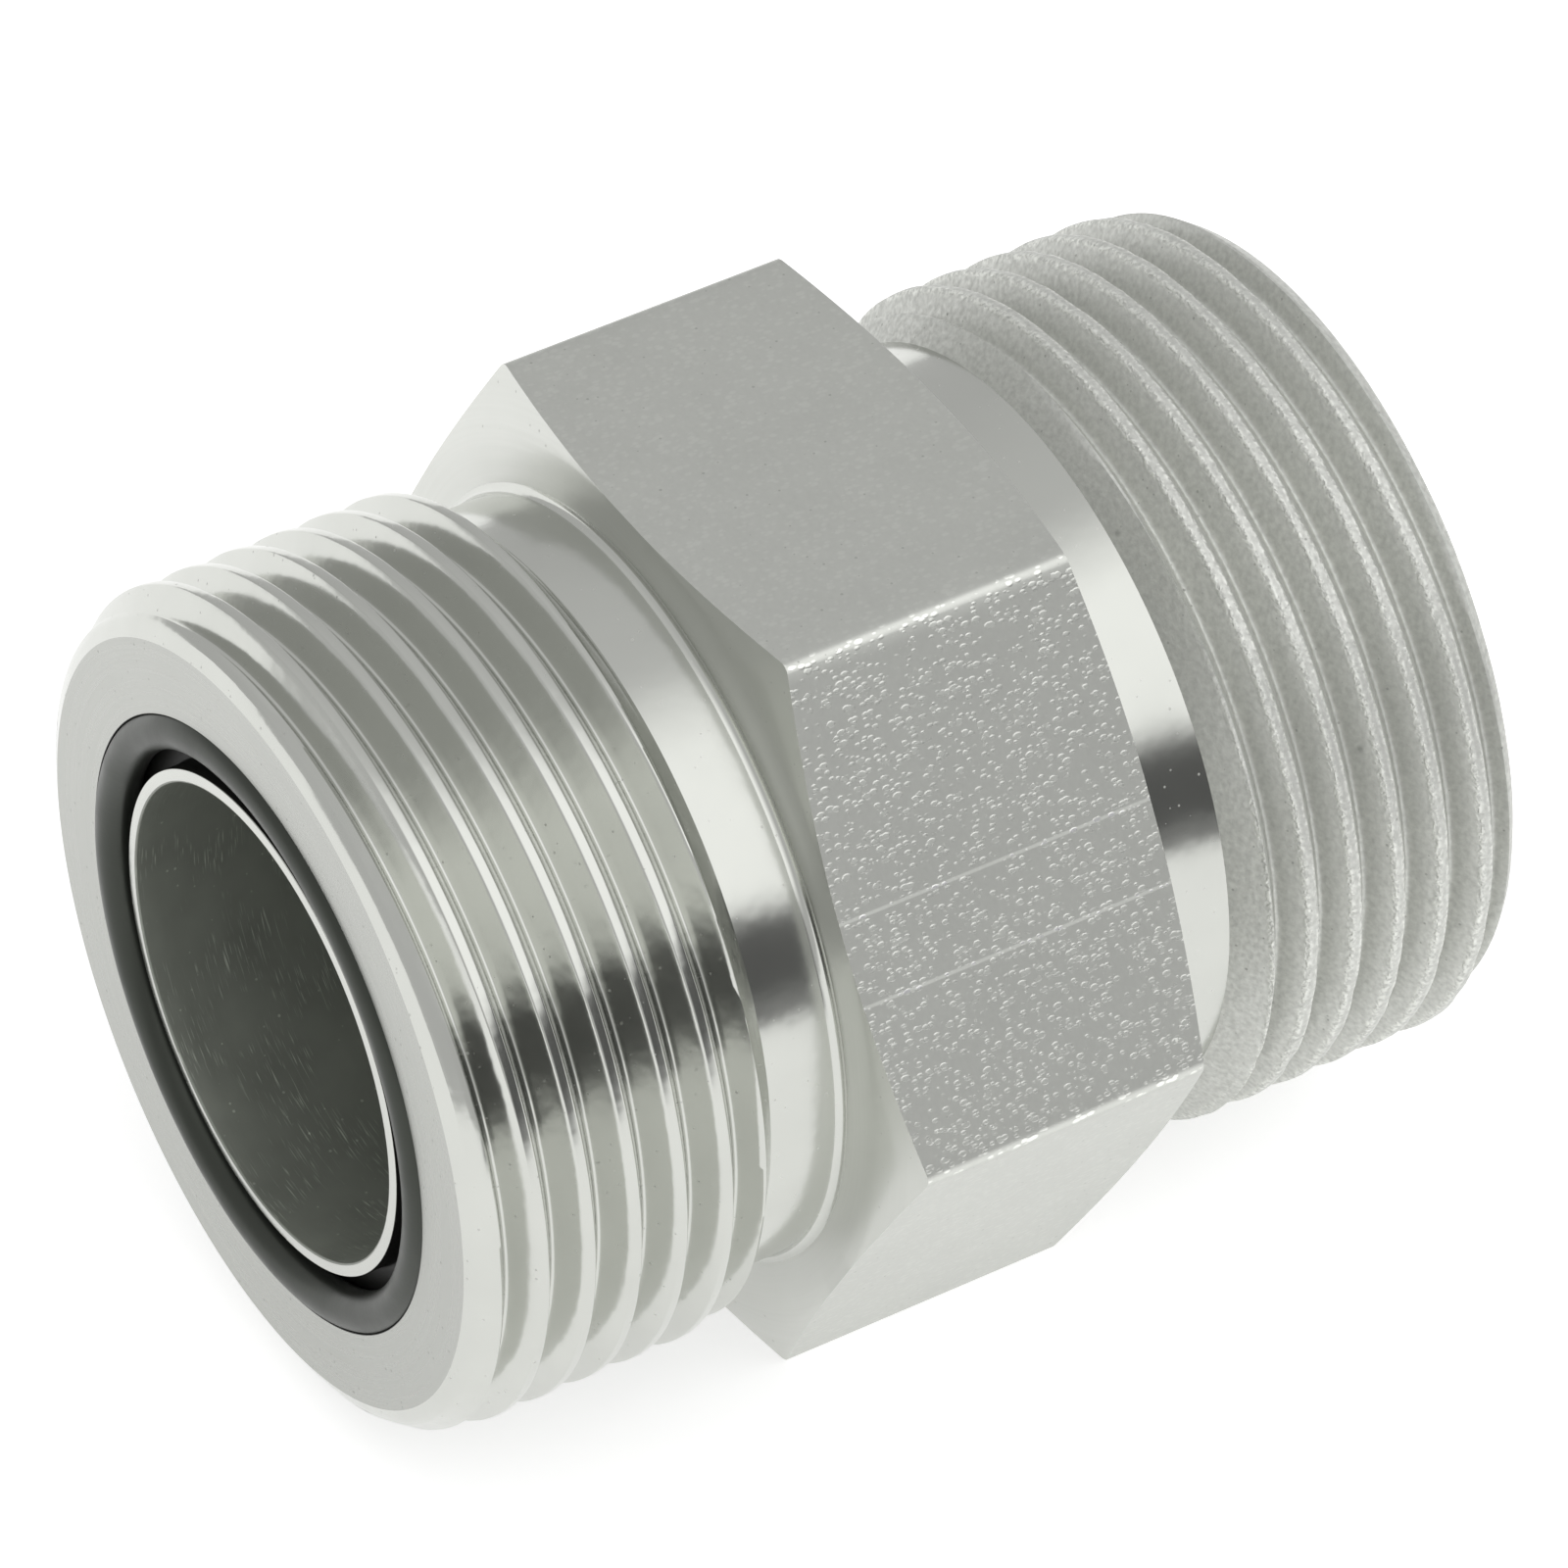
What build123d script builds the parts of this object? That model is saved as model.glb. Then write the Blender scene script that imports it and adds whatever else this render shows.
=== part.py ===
from build123d import *
import math
import os

# Straight union for hydraulic tube ends: a male O-ring face seal stub at each end of a hexagon.
# The body is turned from one piece of hexagon bar. A rubber O-ring sits in a groove in each end face.
# The bore runs along X, and the union lies on one flat of its hexagon, as it would on a bench.
# All sizes are in millimetres. "Front" is the -X end and "back" is the +X end.

# Body
body_length = 49.6
bore_diameter = 20.7

# Hexagon: drawn bar with slightly rounded edges, a flat end face and a turned corner chamfer
hexagon_across_flats = 38.1
hexagon_length = 14.56
hexagon_face_diameter = 38.2
hexagon_corner_chamfer_angle = 15.4
hexagon_edge_radius = 0.4

# Stub threads: straight inch threads, here at their major diameter
thread_major_diameter = 36.5
thread_end_chamfer_length = 1.25

# Steep bevel at the seal face, then the slower lead on which the first turn of thread runs in
lead_bevel_length = 0.3
lead_bevel_height = 0.7
thread_lead_length = 1.3
thread_lead_height = 0.9

# Relief neck between each thread and the hexagon
front_neck_length = 3.32
back_neck_length = 3.87
neck_relief_depth = 1.65
neck_corner_radius = 0.4

# Lip between bore and groove, set back so that only the seal face meets the other part
lip_thickness = 0.6
lip_setback = 0.19
lip_edge_break = 0.1

# O-ring groove: straight inner wall, undercut outer wall that holds the ring in
groove_mouth_width = 2.4
groove_depth = 1.46
groove_undercut_angle = 24.0
groove_mouth_break = 0.12

# O-rings, seated on the groove floor and against the undercut wall
ring_section_diameter = 1.78
ring_seat_clearance = 0.02

front_face = -body_length / 2
back_face = body_length / 2
axis_height = hexagon_across_flats / 2
stub_length = (body_length - hexagon_length) / 2

hexagon_face_radius = hexagon_face_diameter / 2
hexagon_corner_radius = hexagon_across_flats / 2 / math.cos(math.pi / 6)
corner_chamfer_length = (hexagon_corner_radius - hexagon_face_radius) * math.tan(
    math.radians(hexagon_corner_chamfer_angle)
)

bore_radius = bore_diameter / 2
thread_radius = thread_major_diameter / 2
lead_bevel_radius = thread_radius - thread_lead_height
seal_face_radius = lead_bevel_radius - lead_bevel_height
neck_radius = thread_radius - neck_relief_depth
lip_radius = bore_radius + lip_thickness
groove_mouth_radius = lip_radius + groove_mouth_width

undercut_slope = math.tan(math.radians(groove_undercut_angle))
ring_radius = ring_section_diameter / 2
ring_centre_depth = groove_depth - ring_radius - ring_seat_clearance
ring_centre_radius = (
    groove_mouth_radius
    + ring_centre_depth * undercut_slope
    - (ring_radius + ring_seat_clearance) / math.cos(math.radians(groove_undercut_angle))
)


def revolved(edges):
    """Solid turned about X from a closed half section drawn as (x, radius) in the XY plane."""
    return revolve(make_face(edges), axis=Axis.X)


def at_front(solid):
    """Carry a solid drawn from depth 0 inwards to the front end of the body."""
    return Pos(front_face, 0, axis_height) * solid


def at_back(solid):
    """The same for the back end, turned end for end."""
    return Pos(back_face, 0, axis_height) * Rot(0, 180, 0) * solid


def hexagon():
    """Hexagon bar lying on a flat, with its corners turned back at both ends."""
    sharp_section = RegularPolygon(hexagon_across_flats / 2, 6, major_radius=False)
    section = fillet(sharp_section.vertices(), hexagon_edge_radius)
    bar = extrude(Plane.YZ * section, amount=hexagon_length / 2, both=True)
    half = hexagon_length / 2
    shoulder = half - corner_chamfer_length
    envelope = revolved(
        Polyline(
            (-half, 0),
            (-half, hexagon_face_radius),
            (-shoulder, hexagon_corner_radius),
            (shoulder, hexagon_corner_radius),
            (half, hexagon_face_radius),
            (half, 0),
            close=True,
        )
    )
    return Pos(0, 0, axis_height) * (bar & envelope)


def stub(neck_length):
    """One male end from its seal face to the middle of the hexagon."""
    neck_start = stub_length - neck_length
    middle = body_length / 2
    outline = Polyline(
        (stub_length, neck_radius + neck_corner_radius),
        (middle, neck_radius + neck_corner_radius),
        (middle, 0),
        (0, 0),
        (0, seal_face_radius),
        (lead_bevel_length, lead_bevel_radius),
        (lead_bevel_length + thread_lead_length, thread_radius),
        (neck_start - thread_end_chamfer_length, thread_radius),
        (neck_start, neck_radius),
        (stub_length - neck_corner_radius, neck_radius),
    )
    corner = RadiusArc(
        (stub_length - neck_corner_radius, neck_radius),
        (stub_length, neck_radius + neck_corner_radius),
        -neck_corner_radius,
    )
    return revolved(outline + corner)


def groove():
    """Space of the O-ring groove: straight inside, undercut outside, with a broken mouth edge."""
    wall_radius = groove_mouth_radius + groove_mouth_break * undercut_slope
    break_radius = wall_radius + groove_mouth_break
    floor_radius = groove_mouth_radius + groove_depth * undercut_slope
    return revolved(
        Polyline(
            (-lip_setback, lip_radius),
            (-lip_setback, break_radius),
            (0, break_radius),
            (groove_mouth_break, wall_radius),
            (groove_depth, floor_radius),
            (groove_depth, lip_radius),
            close=True,
        )
    )


def lip_relief():
    """What is turned off the lip: its setback from the seal face and the broken bore edge."""
    break_depth = lip_setback + lip_edge_break
    return revolved(
        Polyline(
            (-lip_setback, 0),
            (-lip_setback, lip_radius),
            (lip_setback, lip_radius),
            (lip_setback, bore_radius + lip_edge_break),
            (break_depth, bore_radius),
            (break_depth, 0),
            close=True,
        )
    )


def bore():
    """The straight hole through the whole body."""
    hole = Circle(bore_radius)
    through = extrude(Plane.YZ * hole, amount=body_length / 2, both=True)
    return Pos(0, 0, axis_height) * through


def fitting_body():
    """Hexagon and both stubs as one piece, bored through and grooved at both faces."""
    solid = hexagon() + at_front(stub(front_neck_length)) + at_back(stub(back_neck_length))
    solid -= bore()
    for place in (at_front, at_back):
        solid -= place(groove())
        solid -= place(lip_relief())
    return solid


def o_ring():
    """Rubber ring of round section, drawn at its depth below the seal face."""
    section = Pos(ring_centre_depth, ring_centre_radius) * Circle(ring_radius)
    return revolve(section, axis=Axis.X)


parts = {
    "fitting_body": fitting_body(),
    "front_o_ring": at_front(o_ring()),
    "back_o_ring": at_back(o_ring()),
}

os.makedirs("parts", exist_ok=True)
for name, solid in parts.items():
    export_step(solid, f"parts/{name}.step")
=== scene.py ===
import math

import bmesh
import bpy
import numpy as np
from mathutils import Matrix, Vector


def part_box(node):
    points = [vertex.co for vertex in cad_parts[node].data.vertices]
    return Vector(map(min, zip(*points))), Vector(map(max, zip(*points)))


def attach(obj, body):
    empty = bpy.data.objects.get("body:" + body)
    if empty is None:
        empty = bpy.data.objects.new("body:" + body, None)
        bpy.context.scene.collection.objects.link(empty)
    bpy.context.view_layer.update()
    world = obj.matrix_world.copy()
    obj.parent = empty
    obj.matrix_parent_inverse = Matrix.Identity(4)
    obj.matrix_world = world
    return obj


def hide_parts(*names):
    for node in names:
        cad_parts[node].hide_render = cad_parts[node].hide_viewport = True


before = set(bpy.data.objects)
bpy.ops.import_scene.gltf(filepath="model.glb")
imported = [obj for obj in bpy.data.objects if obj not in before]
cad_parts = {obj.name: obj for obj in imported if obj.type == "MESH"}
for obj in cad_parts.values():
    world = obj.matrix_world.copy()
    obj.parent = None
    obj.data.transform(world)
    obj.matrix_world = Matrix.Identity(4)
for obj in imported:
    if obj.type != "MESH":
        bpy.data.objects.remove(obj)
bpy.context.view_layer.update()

# Fitting body: one piece turned from hexagon steel bar, then zinc plated.
# Both stubs are threaded and grooved for an O-ring, and the bore runs right through.
# The hexagon keeps the drawn skin of the bar. All sizes here are millimetres, X along the bore.
millimetre = 0.001
high_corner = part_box("fitting_body")[1]
end_face = high_corner.x / millimetre
across_flats = high_corner.z / millimetre
axis_height = across_flats / 2
hexagon_half_length = 7.28
hexagon_face_radius = 19.1
hexagon_chamfer_slope = math.tan(math.radians(15.4))
hexagon_edge_radius = 0.6
bore_radius = 10.35
lip_radius = 10.95
lip_setback = 0.19
lip_depth_in_bore = 1.2
groove_mouth_radius = 13.35
groove_depth = 1.46
groove_undercut_slope = math.tan(math.radians(24))
seal_face_radius = 16.65
neck_radius = 16.6
neck_corner_radius = 0.4
thread_radius = 18.25
thread_depth = 1.3
thread_pitch = 25.4 / 12
crest_width = 0.42
crest_edge_radius = 0.07
root_round_radius = 0.2
lead_bevel_slope = 0.7 / 0.3
thread_lead_radius = 17.14
thread_lead_slope = 0.9 / 1.3
thread_end_chamfer_slope = 1.65 / 1.25
blend_width = 0.07
front_crest_wear = 0.02
back_crest_wear = 0.11
bites_per_turn = 150
bite_count = 1200
first_bite = 300
bite_reach = 0.13
front_neck_start = -10.6
back_neck_start = 11.15
front_crest_edge_at_top = -end_face - 0.075
back_crest_edge_at_top = 13.48

columns_per_flat = 32
rows_along_flats = 13
rows_along_bore = 12
flat_angle = math.radians(60)
corner_centre_radius = (axis_height - hexagon_edge_radius) / math.cos(flat_angle / 2)
corner_angle = math.atan2(
    hexagon_edge_radius * math.sin(flat_angle / 2),
    corner_centre_radius + hexagon_edge_radius * math.cos(flat_angle / 2),
)


def column_angles():
    """Angles about the bore, the way the threads turn, with extra ones at the bar's edges."""
    plain = np.linspace(-flat_angle / 2, flat_angle / 2, columns_per_flat + 1)[1:-1]
    edge = np.linspace(-corner_angle, corner_angle, 5) + flat_angle / 2
    one_side = np.concatenate([plain, edge])
    return np.concatenate([one_side + side * flat_angle for side in range(6)])


angles = column_angles()
from_flat_middle = (angles + flat_angle / 2) % flat_angle - flat_angle / 2
from_corner = angles % flat_angle - flat_angle / 2
on_corner = np.abs(from_corner) <= corner_angle + 1e-9
flat_radius = axis_height / np.cos(from_flat_middle)
rounded = corner_centre_radius * np.cos(from_corner) + np.sqrt(
    np.maximum(hexagon_edge_radius**2 - (corner_centre_radius * np.sin(from_corner)) ** 2, 0)
)
flat_radius = np.where(on_corner, rounded, flat_radius)
ones = np.ones_like(angles)

rows = []
row_finish = []
helical_bands = []


def add_row(x, radius, finish):
    """One ring of points; finish names the band between this ring and the one before it."""
    rows.append((x * ones, radius * ones))
    row_finish.append(finish)


def add_rounded_corner(before, corner, after, edge_radius, finish, steps=3):
    """Rings round a corner of the section, tangent to the straight lines on both sides of it."""
    before, corner, after = (np.array(p, float) for p in (before, corner, after))
    to_before = (before - corner) / np.linalg.norm(before - corner)
    to_after = (after - corner) / np.linalg.norm(after - corner)
    for step in range(steps + 1):
        t = step / steps
        point = corner + edge_radius * ((1 - t) ** 2 * to_before + t**2 * to_after)
        add_row(point[0], point[1], finish)


def thread_profile():
    """One pitch of thread from a crest's front edge: distance along the bore, and radius."""
    tan_flank = math.tan(math.radians(30))
    flank_length = thread_depth * tan_flank
    root_width = thread_pitch - crest_width - 2 * flank_length
    e = crest_edge_radius
    corners = [
        (0.0, 0.0, e),
        (crest_width, 0.0, e),
        (crest_width + flank_length, -thread_depth, root_round_radius),
        (crest_width + flank_length + root_width, -thread_depth, root_round_radius),
    ]
    points_after_corner = [(0.5,), (0.2, 0.36, 0.52, 0.68, 0.84), (), (0.16, 0.32, 0.48, 0.64, 0.8)]
    points = []
    for index, (x, depth, radius) in enumerate(corners):
        previous = corners[index - 1]
        following = corners[(index + 1) % 4]
        back_x = previous[0] - (thread_pitch if index == 0 else 0)
        next_x = following[0] + (thread_pitch if index == 3 else 0)
        corner = np.array([x, depth])
        to_back = np.array([back_x, previous[1]]) - corner
        to_next = np.array([next_x, following[1]]) - corner
        back_room = np.linalg.norm(to_back)
        next_room = np.linalg.norm(to_next)
        reach_back = min(radius, 0.45 * back_room)
        reach_next = min(radius, 0.45 * next_room)
        for t in (0.0, 0.33, 0.67, 1.0):
            points.append(
                corner
                + (1 - t) ** 2 * reach_back * to_back / back_room
                + t**2 * reach_next * to_next / next_room
            )
        for share in points_after_corner[index]:
            points.append(corner + share * to_next)
    points = np.array(points)
    order = np.argsort(points[:, 0])
    return points[order, 0], thread_radius + points[order, 1]


profile_x, profile_radius = thread_profile()


def worn(radius, x, crest_edge, wear, seed):
    """Radius less the small bites that rolling and handling took from both edges of the crests."""
    lead = thread_pitch * angles / (2 * math.pi)
    phase = (x - crest_edge - lead + thread_pitch / 2) % thread_pitch - thread_pitch / 2
    turn = np.round((x - crest_edge - lead) / thread_pitch)
    along = (turn + angles / (2 * math.pi)) * bites_per_turn
    rng = np.random.default_rng(seed)
    for edge_x in (0.0, crest_width):
        bites = rng.random(bite_count) ** 2.5
        depth = np.interp((along + first_bite) % bite_count, np.arange(bite_count), bites)
        reach = (phase - edge_x) / bite_reach
        radius = radius - wear * depth * np.exp(-(reach**2))
    return radius


def soft_minimum(first, second):
    """The lower of two surfaces, with their meeting line blended over a small width."""
    overlap = np.maximum(blend_width - np.abs(first - second), 0)
    return np.minimum(first, second) - overlap**2 / (4 * blend_width)


def add_thread(start, end, limits, crest_edge, wear, seed, finish):
    """Rings along the helix from start to end, held under limits given as (x, radius, slope)."""
    lead = thread_pitch * angles / (2 * math.pi)
    first = math.floor((start - thread_pitch - crest_edge) / thread_pitch) - 1
    last = math.ceil((end - crest_edge) / thread_pitch) + 1
    free = [
        crest_edge + turn * thread_pitch + offset + lead
        for turn in range(first, last)
        for offset in profile_x
    ]
    free = np.array(free)
    used = (free.max(axis=1) > start) & (free.min(axis=1) < end)
    x = np.clip(free[used], start, end)
    x = np.vstack([start * ones, x, end * ones])
    phase = (x - crest_edge - lead) % thread_pitch
    radius = np.interp(phase, profile_x, profile_radius, period=thread_pitch)
    radius = worn(radius, x, crest_edge, wear, seed)
    for limit_x, limit_radius, slope in limits:
        radius = soft_minimum(radius, limit_radius + (x - limit_x) * slope)
    helical_bands.append((len(rows), len(rows) + len(x)))
    for ring_x, ring_radius in zip(x, radius):
        add_row(ring_x, ring_radius, finish)


def add_end(side, groove_first):
    """Lip, groove and seal face of one end, from the bore outwards or back; side is -1 or 1."""
    face = side * end_face
    groove_floor = face - side * groove_depth
    floor_radius = groove_mouth_radius + groove_depth * groove_undercut_slope
    section = [
        (face - side * lip_depth_in_bore, bore_radius, 0, "bore"),
        (face - side * lip_setback, bore_radius, 0.09, "bore"),
        (face - side * lip_setback, lip_radius, 0.06, "turned"),
        (groove_floor, lip_radius, 0.1, "groove"),
        (groove_floor, floor_radius, 0.1, "groove"),
        (face, groove_mouth_radius, 0.05, "groove"),
        (face, seal_face_radius, 0.0, "face"),
    ]
    if not groove_first:
        finishes = [s[3] for s in section]
        section = section[::-1]
        section = [(*s[:3], f) for s, f in zip(section, ["face", *finishes[:0:-1]])]
    for index, (x, radius, edge, finish) in enumerate(section):
        if edge == 0:
            add_row(x, radius, finish)
        else:
            before = section[index - 1][:2]
            after = section[index + 1][:2]
            add_rounded_corner(before, (x, radius), after, edge, finish)


def add_hexagon():
    """Neck corner, end face, corner chamfer and flats, from the front neck to the back neck."""
    for side in (-1, 1):
        corner_x = side * hexagon_half_length
        neck_corner = [
            (
                corner_x + side * neck_corner_radius * (1 - math.sin(t)),
                neck_radius + neck_corner_radius * (1 - math.cos(t)),
            )
            for t in np.linspace(0, math.pi / 2, 6)
        ]
        face_edge = np.minimum(hexagon_face_radius, flat_radius)
        shoulder = hexagon_half_length - hexagon_chamfer_slope * (flat_radius - face_edge)
        corner_top = neck_radius + neck_corner_radius
        face_rows = [
            (corner_x, (1 - t) * corner_top + t * face_edge, "hexagon_face") for t in (0.5, 1.0)
        ]
        cone_rows = [
            (
                (1 - t) * corner_x + t * side * shoulder,
                (1 - t) * face_edge + t * flat_radius,
                "hexagon_face",
            )
            for t in (0.5, 1.0)
        ]
        if side < 0:
            for x, radius in neck_corner:
                add_row(x, radius, "turned")
            for row in face_rows + cone_rows:
                add_row(*row)
            for t in np.linspace(-1, 1, rows_along_flats)[1:-1]:
                add_row(t * shoulder, flat_radius, "flats")
        else:
            add_row(side * shoulder, flat_radius, "flats")
            add_row(cone_rows[0][0], cone_rows[0][1], "hexagon_face")
            add_row(corner_x, face_edge, "hexagon_face")
            add_row(face_rows[0][0], face_rows[0][1], "hexagon_face")
            for x, radius in neck_corner[::-1]:
                add_row(x, radius, "turned")


add_end(-1, groove_first=True)
add_thread(
    -end_face,
    front_neck_start,
    [
        (-end_face, seal_face_radius, lead_bevel_slope),
        (-end_face, thread_lead_radius, thread_lead_slope),
        (front_neck_start, neck_radius, -thread_end_chamfer_slope),
    ],
    front_crest_edge_at_top,
    front_crest_wear,
    11,
    "front_thread",
)
add_hexagon()
add_row(back_neck_start, neck_radius, "turned")
add_thread(
    back_neck_start,
    end_face,
    [
        (end_face, seal_face_radius, -lead_bevel_slope),
        (end_face, thread_lead_radius, -thread_lead_slope),
        (back_neck_start, neck_radius, thread_end_chamfer_slope),
    ],
    back_crest_edge_at_top,
    back_crest_wear,
    23,
    "back_thread",
)
add_end(1, groove_first=False)
bore_end = end_face - lip_depth_in_bore
for x in np.linspace(bore_end, -bore_end, rows_along_bore)[1:-1]:
    add_row(x, bore_radius, "bore")

crease_angle = math.radians(38)
finish_names = [
    "turned", "face", "front_thread", "back_thread", "flats", "hexagon_face", "groove", "bore"
]


def ring_mesh(name):
    """Closed mesh of all rings; the last ring joins the first inside the bore."""
    x = np.array([r[0] for r in rows])
    radius = np.array([r[1] for r in rows])
    y = -radius * np.sin(angles)
    z = axis_height + radius * np.cos(angles)
    points = np.stack([x, y, z], axis=-1).reshape(-1, 3) * millimetre
    ring_count, column_count = x.shape
    ring = np.arange(ring_count)
    column = np.arange(column_count)
    a = ring[:, None] * column_count + column[None, :-1]
    b = a + 1
    c = np.roll(b, -1, axis=0)
    d = np.roll(a, -1, axis=0)
    faces = np.stack([a, b, c, d], axis=-1).reshape(-1, 4).tolist()
    band = [finish_names.index(row_finish[(r + 1) % ring_count]) for r in range(ring_count)]
    face_finish = np.repeat(band, column_count - 1).tolist()
    joined = []
    in_helix = np.zeros(ring_count, bool)
    for first, last in helical_bands:
        in_helix[first : last - 1] = True
        for k in range(first - len(profile_x), last - 1):
            left = [min(max(k + step, first), last - 1) for step in (0, 1)]
            right = [min(max(k + step + len(profile_x), first), last - 1) for step in (0, 1)]
            joined.append((left, right, finish_names.index(row_finish[first + 1])))
    for r in np.nonzero(~in_helix)[0]:
        pair = [int(r), int(r + 1) % ring_count]
        joined.append((pair, pair, band[r]))
    for left, right, finish in joined:
        faces.append(
            (
                (left[0] + 1) * column_count - 1,
                right[0] * column_count,
                right[1] * column_count,
                (left[1] + 1) * column_count - 1,
            )
        )
        face_finish.append(finish)
    mesh = bpy.data.meshes.new(name)
    mesh.from_pydata(points.tolist(), [], faces)
    mesh.polygons.foreach_set("material_index", face_finish)
    built = bmesh.new()
    built.from_mesh(mesh)
    bmesh.ops.remove_doubles(built, verts=built.verts, dist=0.0002 * millimetre)
    bmesh.ops.recalc_face_normals(built, faces=built.faces)
    for face in built.faces:
        face.smooth = True
    for edge in built.edges:
        finishes_here = {face.material_index for face in edge.link_faces}
        edge.smooth = len(finishes_here) == 1 and edge.calc_face_angle(0) < crease_angle
    built.to_mesh(mesh)
    built.free()
    return mesh


body_mesh = ring_mesh("fitting_body_skin")
fitting_body = bpy.data.objects.new("fitting_body_skin", body_mesh)
bpy.context.scene.collection.objects.link(fitting_body)


def new_material(name):
    """A material with a Principled shader, ready for its own nodes."""
    material = bpy.data.materials.new(name)
    material.use_nodes = True
    return material, material.node_tree.nodes, material.node_tree.links


def new_group(name, outputs):
    """An empty node group with the named value outputs."""
    tree = bpy.data.node_groups.new(name, "ShaderNodeTree")
    for label in outputs:
        tree.interface.new_socket(label, in_out="OUTPUT", socket_type="NodeSocketFloat")
    return tree, tree.nodes.new("NodeGroupOutput")


def calculate(tree, operation, first, second):
    """One arithmetic step; each side is a socket or a number."""
    node = tree.nodes.new("ShaderNodeMath")
    node.operation = operation
    for socket, value in zip(node.inputs, (first, second)):
        if isinstance(value, (int, float)):
            socket.default_value = value
        else:
            tree.links.new(value, socket)
    return node.outputs[0]


def spread(tree, value, from_low, from_high, to_low=0.0, to_high=1.0, smooth=False):
    """Stretch a value from one range to another and hold it there."""
    node = tree.nodes.new("ShaderNodeMapRange")
    node.interpolation_type = "SMOOTHSTEP" if smooth else "LINEAR"
    for name, number in (
        ("From Min", from_low), ("From Max", from_high), ("To Min", to_low), ("To Max", to_high)
    ):
        node.inputs[name].default_value = number
    tree.links.new(value, node.inputs["Value"])
    return node.outputs[0]


def product(tree, *values):
    """All the values multiplied together."""
    total = values[0]
    for value in values[1:]:
        total = calculate(tree, "MULTIPLY", total, value)
    return total


def grain(tree, place, lengths, detail=2.0):
    """Noise with grains of the given lengths in millimetres along the three axes of place."""
    scaled = tree.nodes.new("ShaderNodeVectorMath")
    scaled.operation = "MULTIPLY"
    scaled.inputs[1].default_value = [1 / (length * millimetre) for length in lengths]
    noise = tree.nodes.new("ShaderNodeTexNoise")
    noise.inputs["Scale"].default_value = 1
    noise.inputs["Detail"].default_value = detail
    tree.links.new(place, scaled.inputs[0])
    tree.links.new(scaled.outputs[0], noise.inputs["Vector"])
    return noise.outputs["Fac"]


def specks(tree, place, lengths, share, size, rim=0.35):
    """Small spots in a share of the cells; size is a spot's reach in its cell, rim its soft part."""
    scaled = tree.nodes.new("ShaderNodeVectorMath")
    scaled.operation = "MULTIPLY"
    scaled.inputs[1].default_value = [1 / (length * millimetre) for length in lengths]
    cells = tree.nodes.new("ShaderNodeTexVoronoi")
    cells.inputs["Scale"].default_value = 1
    tree.links.new(place, scaled.inputs[0])
    tree.links.new(scaled.outputs[0], cells.inputs["Vector"])
    channel = tree.nodes.new("ShaderNodeSeparateColor")
    tree.links.new(cells.outputs["Color"], channel.inputs[0])
    chosen = calculate(tree, "LESS_THAN", channel.outputs[0], share)
    reach = spread(tree, channel.outputs[1], 0, 1, 0.35 * size, size)
    depth = calculate(tree, "SUBTRACT", reach, cells.outputs["Distance"])
    return product(tree, spread(tree, depth, 0.0, rim * size, smooth=True), chosen)


def crest_edges(tree, along, turned_by, from_axis):
    """One on both edges of every thread crest, fading out beside them; lengths in millimetres."""
    at_back = calculate(tree, "GREATER_THAN", along, 0.0)
    edge_at_top = spread(tree, at_back, 0, 1, front_crest_edge_at_top, back_crest_edge_at_top)
    from_edge = calculate(tree, "SUBTRACT", along, edge_at_top)
    turns = calculate(tree, "DIVIDE", from_edge, thread_pitch)
    turns = calculate(tree, "SUBTRACT", turns, calculate(tree, "DIVIDE", turned_by, 2 * math.pi))
    phase = calculate(tree, "MULTIPLY", calculate(tree, "FRACT", turns, 0), thread_pitch)
    to_first = calculate(tree, "MINIMUM", phase, calculate(tree, "SUBTRACT", thread_pitch, phase))
    to_second = calculate(tree, "ABSOLUTE", calculate(tree, "SUBTRACT", phase, crest_width), 0)
    beside = spread(tree, calculate(tree, "MINIMUM", to_first, to_second), 0.2, 0.02, smooth=True)
    near_crest = spread(tree, from_axis, thread_radius - 0.5, thread_radius - 0.2)
    return product(tree, beside, near_crest)


def coarse_flat(tree, y, z):
    """One on the flat at the front right, whose plating grew coarser."""
    outwards = calculate(
        tree, "ADD",
        product(tree, y, -math.sin(flat_angle)),
        product(tree, z, math.cos(flat_angle)),
    )
    return spread(tree, outwards, axis_height - 0.2, axis_height - 0.1)


scratch_places = (-0.35, 3.22)


def drawn_scratches(tree, y, z):
    """Two long scratches along the bar, at their places across the coarse flat in millimetres."""
    across = calculate(
        tree, "ADD",
        product(tree, y, -math.cos(flat_angle)),
        product(tree, z, -math.sin(flat_angle)),
    )
    lines = []
    for scratch_place in scratch_places:
        aside = calculate(tree, "SUBTRACT", across, scratch_place)
        lines.append(spread(tree, calculate(tree, "ABSOLUTE", aside, 0), 0.1, 0.04))
    return calculate(tree, "MAXIMUM", *lines)


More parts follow.
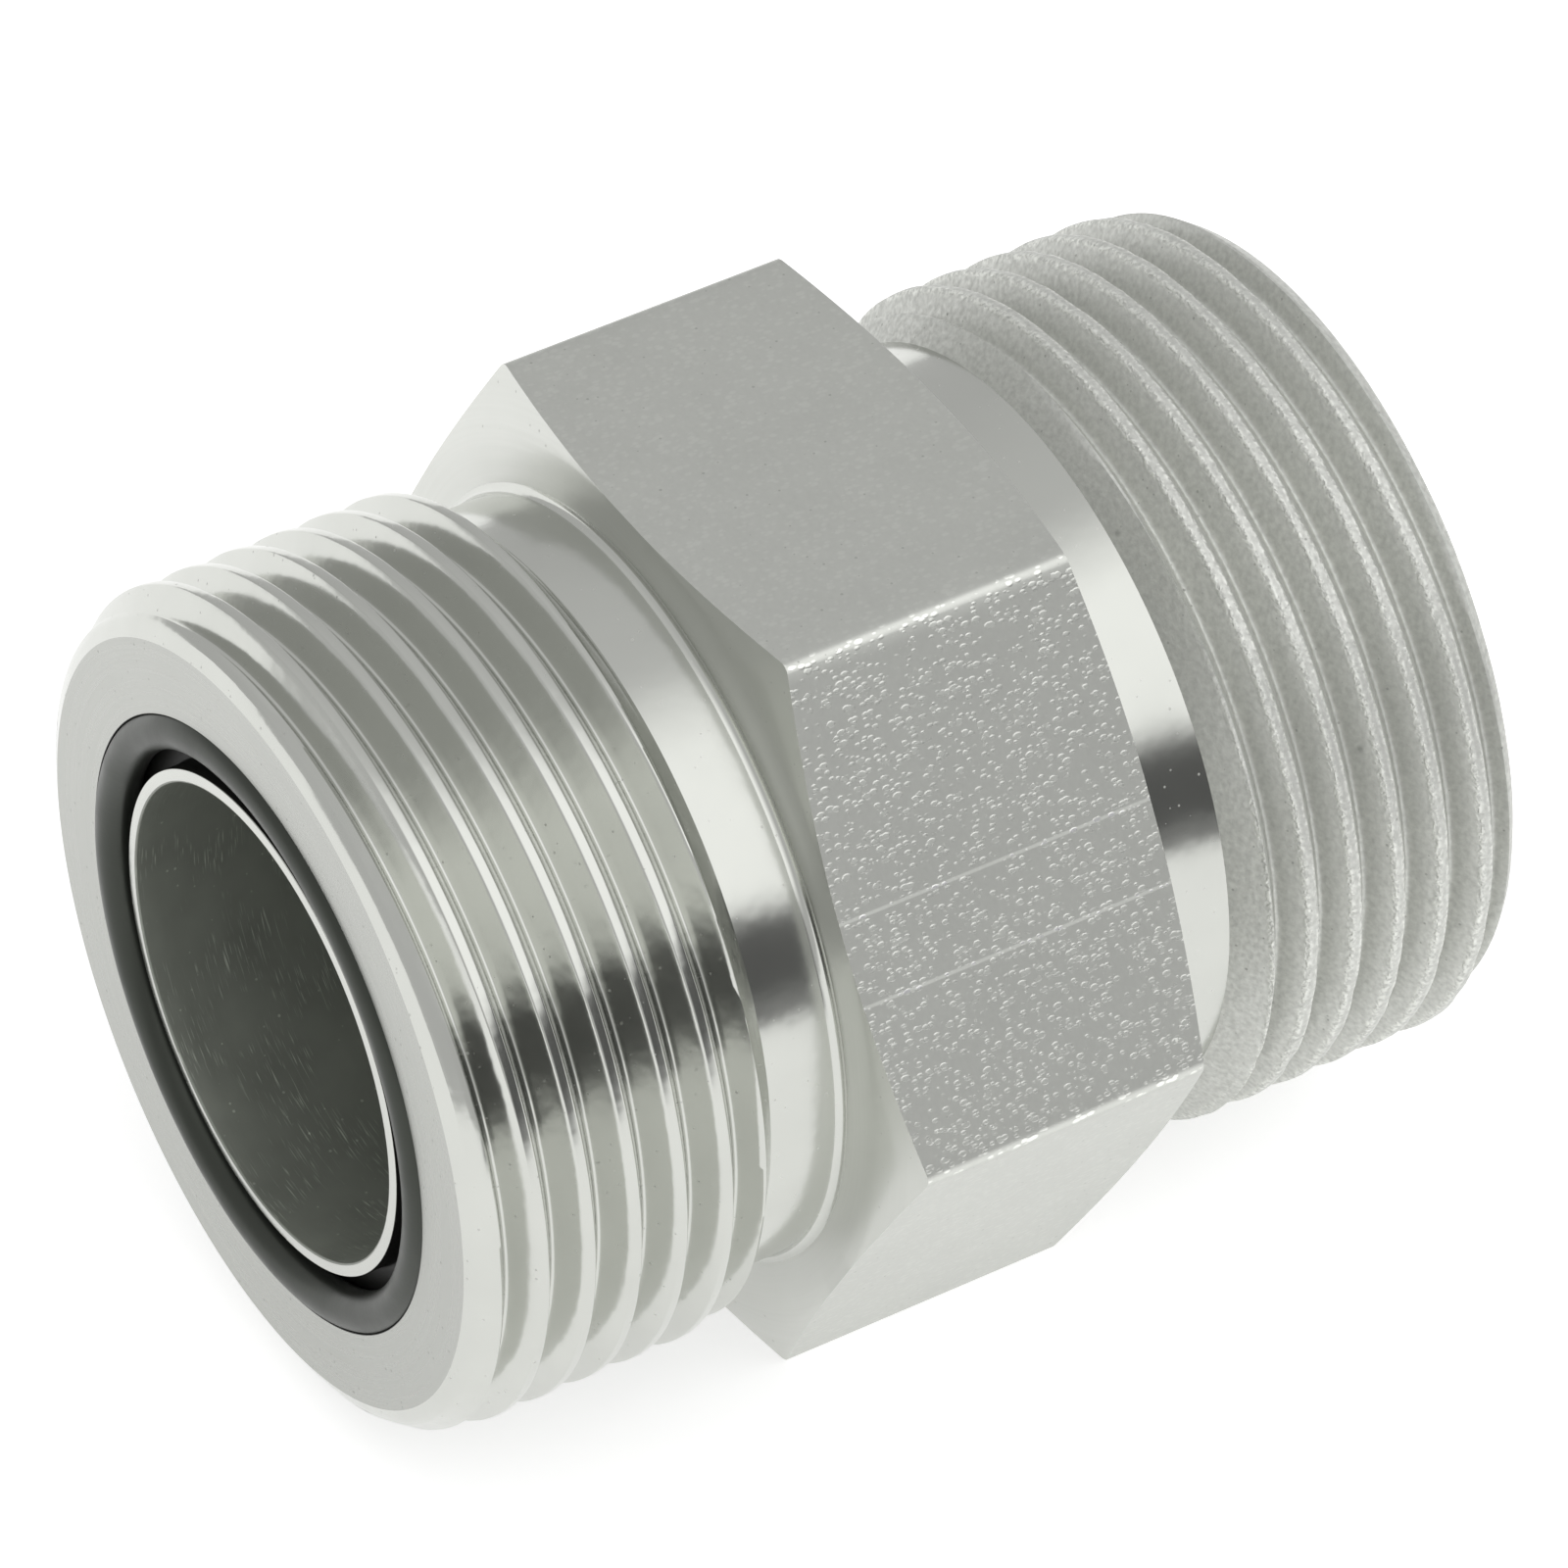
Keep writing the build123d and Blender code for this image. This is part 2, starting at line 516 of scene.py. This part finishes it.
def make_machined_steel():
    """What the lathe, the drawing die and the plating bath leave on the steel, each as a value."""
    tree, output = new_group(
        "machined_steel",
        [
            "Turned", "Faced", "Domes and painted glints", "Clouds", "Mottle",
            "Torn edges and painted highlight", "Pits", "Dust", "Rubs", "Scratches",
        ],
    )
    place = tree.nodes.new("ShaderNodeTexCoord").outputs["Object"]
    in_millimetres = tree.nodes.new("ShaderNodeVectorMath")
    in_millimetres.operation = "SCALE"
    in_millimetres.inputs["Scale"].default_value = 1 / millimetre
    tree.links.new(place, in_millimetres.inputs[0])
    apart = tree.nodes.new("ShaderNodeSeparateXYZ")
    tree.links.new(in_millimetres.outputs[0], apart.inputs[0])
    along, y, z = apart.outputs
    z = calculate(tree, "SUBTRACT", z, axis_height)
    squares = [calculate(tree, "POWER", value, 2) for value in (y, z)]
    from_axis = calculate(tree, "SQRT", calculate(tree, "ADD", *squares), 0)
    turned_by = calculate(tree, "ARCTAN2", product(tree, y, -1), z)
    across_face = tree.nodes.new("ShaderNodeCombineXYZ")
    from_axis_in_metres = product(tree, from_axis, millimetre)
    for socket, value in zip(across_face.inputs, (from_axis_in_metres, y, z)):
        tree.links.new(value, socket)
    clouds = grain(tree, place, (3.5, 3.5, 3.5), 3)
    beads = spread(tree, grain(tree, place, (0.2, 0.2, 0.2), 1), 0.38, 0.62, smooth=True)
    streaks = spread(tree, grain(tree, place, (0.05, 1.2, 1.2), 1), 0.62, 0.72)
    coarse = coarse_flat(tree, y, z)
    grown = spread(tree, coarse, 0, 1, 0.12, 1)
    # Domes of coarse plating on the front right flat: real relief and smoothness, and where they
    # lighten the colour they are painted glints.
    domes_and_glints = specks(tree, place, (0.36, 0.23, 0.23), 0.8, 0.8, rim=0.5)
    domes_and_glints = calculate(tree, "MAXIMUM", domes_and_glints, 0.2)
    values = {
        "Turned": grain(tree, place, (0.09, 9, 9), 3),
        "Faced": grain(tree, across_face.outputs[0], (0.12, 12000, 12000), 3),
        "Domes and painted glints": product(tree, domes_and_glints, grown),
        "Clouds": clouds,
        "Mottle": grain(tree, place, (0.2, 0.26, 0.26), 4),
        # Beads along both edges of every crest: their bump is real relief, and where they lighten
        # the colour they are a painted highlight.
        "Torn edges and painted highlight": product(tree, crest_edges(tree, along, turned_by, from_axis), beads),
        "Pits": specks(tree, place, (2.2, 2.2, 2.2), 0.2, 0.12, rim=0.9),
        "Dust": specks(tree, place, (0.4, 0.4, 0.4), 0.3, 0.2),
        "Rubs": product(tree, streaks, spread(tree, clouds, 0.48, 0.58)),
        "Scratches": product(tree, drawn_scratches(tree, y, z), coarse),
    }
    for label, value in values.items():
        tree.links.new(value, output.inputs[label])
    return tree


machined_steel = make_machined_steel()


def plated_finish(finish, colour, metallic, roughness, relief, shades, dulling=0.3):
    """Zinc plating: roughness is (marks, low, high), relief lists (marks, millimetres),
    and shades says how far each kind of mark darkens the colour; below zero it lightens it."""
    material, nodes, links = new_material(f"zinc_{finish}")
    tree = material.node_tree
    shader = nodes["Principled BSDF"]
    steel = nodes.new("ShaderNodeGroup")
    steel.node_tree = machined_steel
    marks, low, high = roughness
    rough = spread(tree, steel.outputs[marks], 0.3, 0.7, low, high)
    dusty = calculate(tree, "MULTIPLY", steel.outputs["Dust"], dulling)
    links.new(calculate(tree, "ADD", rough, dusty), shader.inputs["Roughness"])
    level = 1.0
    for marks, strength in shades.items():
        kept = spread(tree, steel.outputs[marks], 0.0, 1.0, 1.0, 1.0 - strength)
        level = calculate(tree, "MULTIPLY", level, kept)
    tint = nodes.new("ShaderNodeVectorMath")
    tint.operation = "SCALE"
    tint.inputs[0].default_value = colour
    links.new(level, tint.inputs["Scale"])
    links.new(tint.outputs[0], shader.inputs["Base Color"])
    shader.inputs["Metallic"].default_value = metallic
    for marks, depth in relief:
        bump = nodes.new("ShaderNodeBump")
        bump.inputs["Distance"].default_value = depth * millimetre
        links.new(steel.outputs[marks], bump.inputs["Height"])
        if shader.inputs["Normal"].is_linked:
            links.new(shader.inputs["Normal"].links[0].from_socket, bump.inputs["Normal"])
        links.new(bump.outputs[0], shader.inputs["Normal"])
    return material


plating = (0.59, 0.60, 0.565)
finishes = {
    "turned": plated_finish(
        "turned", plating, 1, ("Clouds", 0.12, 0.18), [("Clouds", 0.03), ("Turned", 0.0001)],
        {"Clouds": 0.06, "Dust": -0.15},
    ),
    # The end face's colour is darker than the plating as painted shade: it stands in for the
    # shadowed floor near the fitting that the face reflects.
    "face": plated_finish(
        "face", (0.45, 0.458, 0.43), 1, ("Faced", 0.25, 0.32), [("Faced", 0.0001)],
        {"Clouds": 0.04, "Dust": 0.08},
    ),
    "front_thread": plated_finish(
        "front_thread", plating, 1, ("Clouds", 0.13, 0.19), [("Clouds", 0.06)],
        {"Clouds": 0.06, "Pits": 0.35, "Dust": 0.08},
    ),
    "back_thread": plated_finish(
        "back_thread", (0.78, 0.79, 0.75), 0.8, ("Mottle", 0.45, 0.6),
        [("Mottle", 0.02), ("Torn edges and painted highlight", 0.03)],
        # The lighter crest edges are a painted highlight; the beads' bump is real relief.
        {"Mottle": 0.4, "Torn edges and painted highlight": -0.3, "Pits": 0.4, "Dust": 0.2},
    ),
    "flats": plated_finish(
        "flats", (0.62, 0.63, 0.595), 1, ("Domes and painted glints", 0.42, 0.34), [("Domes and painted glints", 0.012)],
        # The lighter domes are painted glints; their bump and lower roughness are real relief.
        {"Clouds": 0.08, "Mottle": 0.1, "Domes and painted glints": -0.65, "Dust": 0.12, "Scratches": -0.35},
    ),
    "hexagon_face": plated_finish(
        "hexagon_face", (0.64, 0.65, 0.615), 1, ("Faced", 0.28, 0.36), [("Faced", 0.0001)],
        {"Clouds": 0.05, "Dust": 0.08},
    ),
    # The groove's near-black colour is painted shade in its narrow recess, over its film of oil, and
    # the bore is given a darker, duller grey, so both stay dull.
    "groove": plated_finish(
        "groove", (0.02, 0.02, 0.018), 0.3, ("Faced", 0.4, 0.5), [("Faced", 0.0001)],
        {"Clouds": 0.2},
    ),
    "bore": plated_finish(
        "bore", (0.34, 0.36, 0.315), 0.35, ("Turned", 0.3, 0.45), [("Turned", 0.001)],
        {"Clouds": 0.45, "Rubs": -1.2, "Dust": -0.7},
    ),
}
for finish in finish_names:
    body_mesh.materials.append(finishes[finish])

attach(fitting_body, "root")
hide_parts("fitting_body")

# O-rings: moulded nitrile rubber, one pressed into the groove of each end face.
# Each stands a third of a millimetre proud of the face.
ring_section_radius = 0.89
ring_centre_radius = 12.599
ring_centre_depth = 0.55
steps_round_ring = 180
steps_round_section = 32
rubber, nodes, links = new_material("black_rubber")
shader = nodes["Principled BSDF"]
shader.inputs["Base Color"].default_value = (0.024, 0.026, 0.022, 1)
shader.inputs["Specular Tint"].default_value = (0.93, 1.0, 0.88, 1)
place = nodes.new("ShaderNodeTexCoord").outputs["Object"]
bloom = grain(rubber.node_tree, place, (2.5, 2.5, 2.5), 3)
links.new(spread(rubber.node_tree, bloom, 0.3, 0.7, 0.3, 0.42), shader.inputs["Roughness"])
skin = nodes.new("ShaderNodeBump")
skin.inputs["Distance"].default_value = 0.004 * millimetre
links.new(grain(rubber.node_tree, place, (0.25, 0.25, 0.25), 3), skin.inputs["Height"])
links.new(skin.outputs[0], shader.inputs["Normal"])
for name, side in (("front_o_ring", -1), ("back_o_ring", 1)):
    around = np.linspace(0, 2 * math.pi, steps_round_ring, endpoint=False)
    section = np.linspace(0, 2 * math.pi, steps_round_section, endpoint=False)
    ring_x = side * (end_face - ring_centre_depth + ring_section_radius * np.sin(section))
    ring_radius = ring_centre_radius + ring_section_radius * np.cos(section)
    points = [
        (
            x * millimetre,
            -r * math.sin(angle) * millimetre,
            (axis_height + r * math.cos(angle)) * millimetre,
        )
        for angle in around
        for x, r in zip(ring_x, ring_radius)
    ]
    faces = []
    for step in range(steps_round_ring):
        here = step * steps_round_section
        there = (step + 1) % steps_round_ring * steps_round_section
        for j in range(steps_round_section):
            j2 = (j + 1) % steps_round_section
            faces.append((here + j, here + j2, there + j2, there + j))
    mesh = bpy.data.meshes.new(f"{name}_rubber")
    mesh.from_pydata(points, [], faces)
    built = bmesh.new()
    built.from_mesh(mesh)
    bmesh.ops.recalc_face_normals(built, faces=built.faces)
    built.to_mesh(mesh)
    built.free()
    mesh.shade_smooth()
    mesh.materials.append(rubber)
    o_ring = bpy.data.objects.new(f"{name}_rubber", mesh)
    bpy.context.scene.collection.objects.link(o_ring)
    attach(o_ring, "root")
    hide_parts(name)

# Floor: a plain white sheet that the fitting lies on.
# The camera sees it white, and it keeps the fitting's shadow. The metal sees it white too, except
# beyond the table's near right edge, where a painted dark reflection darkens it for glossy rays
# only.
floor_half = 3.0
floor_albedo = 0.7
floor_lift = 0.6
table_edge = 0.14
floor_mesh = bpy.data.meshes.new("floor")
floor_corners = [
    (x * floor_half, y * floor_half, 0) for x, y in ((-1, -1), (1, -1), (1, 1), (-1, 1))
]
floor_mesh.from_pydata(floor_corners, [], [(0, 1, 2, 3)])
floor = bpy.data.objects.new("floor", floor_mesh)
bpy.context.scene.collection.objects.link(floor)
paper, nodes, links = new_material("white_sheet")
tree = paper.node_tree
shader = nodes["Principled BSDF"]
shader.inputs["Roughness"].default_value = 0.9
shader.inputs["Specular IOR Level"].default_value = 0
light_path = nodes.new("ShaderNodeLightPath")
ground = nodes.new("ShaderNodeSeparateXYZ")
links.new(nodes.new("ShaderNodeTexCoord").outputs["Object"], ground.inputs[0])
# Painted dark reflection: beyond the table's near right edge the sheet is darkened for glossy rays
# only, so the metal shows a dark band there.
beyond_edge = spread(tree, ground.outputs[1], -table_edge, -table_edge - 0.06)
to_right = spread(tree, ground.outputs[0], -0.1, 0.02)
painted_dark_band_area = calculate(tree, "MULTIPLY", beyond_edge, to_right)
painted_dark_reflection = calculate(tree, "MULTIPLY", painted_dark_band_area, light_path.outputs["Is Glossy Ray"])
kept = calculate(tree, "SUBTRACT", 1, calculate(tree, "MULTIPLY", painted_dark_reflection, 0.8))
sheet = nodes.new("ShaderNodeVectorMath")
sheet.operation = "SCALE"
sheet.inputs[0].default_value = (floor_albedo, floor_albedo, floor_albedo)
links.new(kept, sheet.inputs["Scale"])
links.new(sheet.outputs[0], shader.inputs["Base Color"])
camera_ray, glossy_ray = (light_path.outputs[f"Is {kind} Ray"] for kind in ("Camera", "Glossy"))
seen = calculate(tree, "MAXIMUM", camera_ray, glossy_ray)
lift = calculate(tree, "MULTIPLY", calculate(tree, "MULTIPLY", seen, floor_lift), kept)
shader.inputs["Emission Color"].default_value = (1, 1, 1, 1)
links.new(lift, shader.inputs["Emission Strength"])
floor_mesh.materials.append(paper)

# Studio: the glow of a softbox above and to the right, pale walls behind and to the left,
# and a darker room beyond the table's near right edge, which the metal shows as a dark band.
room_grey = 0.13
wall_grey = 0.62
ceiling_grey = 0.74
softbox_grey = 1.42
left_wall_grey = 0.67
world = bpy.data.worlds.new("studio")
bpy.context.scene.world = world
world.use_nodes = True
tree = world.node_tree
direction = tree.nodes.new("ShaderNodeSeparateXYZ")
tree.links.new(tree.nodes.new("ShaderNodeTexCoord").outputs["Generated"], direction.inputs[0])
to_x, to_y, to_z = direction.outputs
upper = spread(tree, to_z, 0.45, 1.0, wall_grey, ceiling_grey)
leftness = spread(tree, to_x, -0.55, -0.85)
wall = calculate(
    tree, "ADD", upper,
    calculate(tree, "MULTIPLY", leftness, calculate(tree, "SUBTRACT", left_wall_grey, upper)),
)
softbox_glow = product(
    tree,
    spread(tree, to_y, 0.2, -0.35, smooth=True),
    spread(tree, to_z, 0.33, 0.46),
    spread(tree, to_x, -0.75, -0.1),
)
wall = calculate(
    tree, "ADD", wall,
    calculate(tree, "MULTIPLY", softbox_glow, calculate(tree, "SUBTRACT", softbox_grey, wall)),
)
low = spread(tree, to_z, 0.4, 0.3)
near_side = spread(tree, to_y, -0.35, -0.6)
right_side = spread(tree, to_x, -0.1, 0.15)
in_room = calculate(tree, "MULTIPLY", calculate(tree, "MULTIPLY", low, near_side), right_side)
level = calculate(
    tree, "SUBTRACT", wall,
    calculate(tree, "MULTIPLY", in_room, calculate(tree, "SUBTRACT", wall, room_grey)),
)
tree.links.new(level, tree.nodes["Background"].inputs["Color"])

softbox_size = 1.5
softbox_distance = 2.4
softbox_radiance = 0.6
softbox_direction = Vector((0.389, -0.58, 0.715)).normalized()
softbox_data = bpy.data.lights.new("softbox", "AREA")
softbox_data.shape = "SQUARE"
softbox_data.size = softbox_size
softbox_data.energy = softbox_radiance * math.pi * softbox_size**2
softbox = bpy.data.objects.new("softbox", softbox_data)
softbox.visible_glossy = False
bpy.context.scene.collection.objects.link(softbox)
softbox.location = Vector((0, 0, axis_height * millimetre)) + softbox_direction * softbox_distance
softbox.rotation_euler = softbox_direction.to_track_quat("Z", "Y").to_euler()

# Camera: above the front left, as in the photograph, so close that the two ends differ in size.
# Its place and aim were fitted to the outlines of the bore, the hexagon and the threads.
camera_place = Vector((-186.79, -307.39, 339.63)) * millimetre
camera_aim = Vector((0.38867, 0.63928, -0.66352))
camera_data = bpy.data.cameras.new("camera")
camera = bpy.data.objects.new("camera", camera_data)
bpy.context.scene.collection.objects.link(camera)
camera_data.sensor_width = 36
camera_data.lens = 269.0
camera_data.clip_start = 0.01
camera_data.clip_end = 20
camera.location = camera_place
camera.rotation_euler = camera_aim.to_track_quat("-Z", "Y").to_euler()
bpy.context.scene.camera = camera

bpy.context.scene.view_settings.view_transform = "Standard"
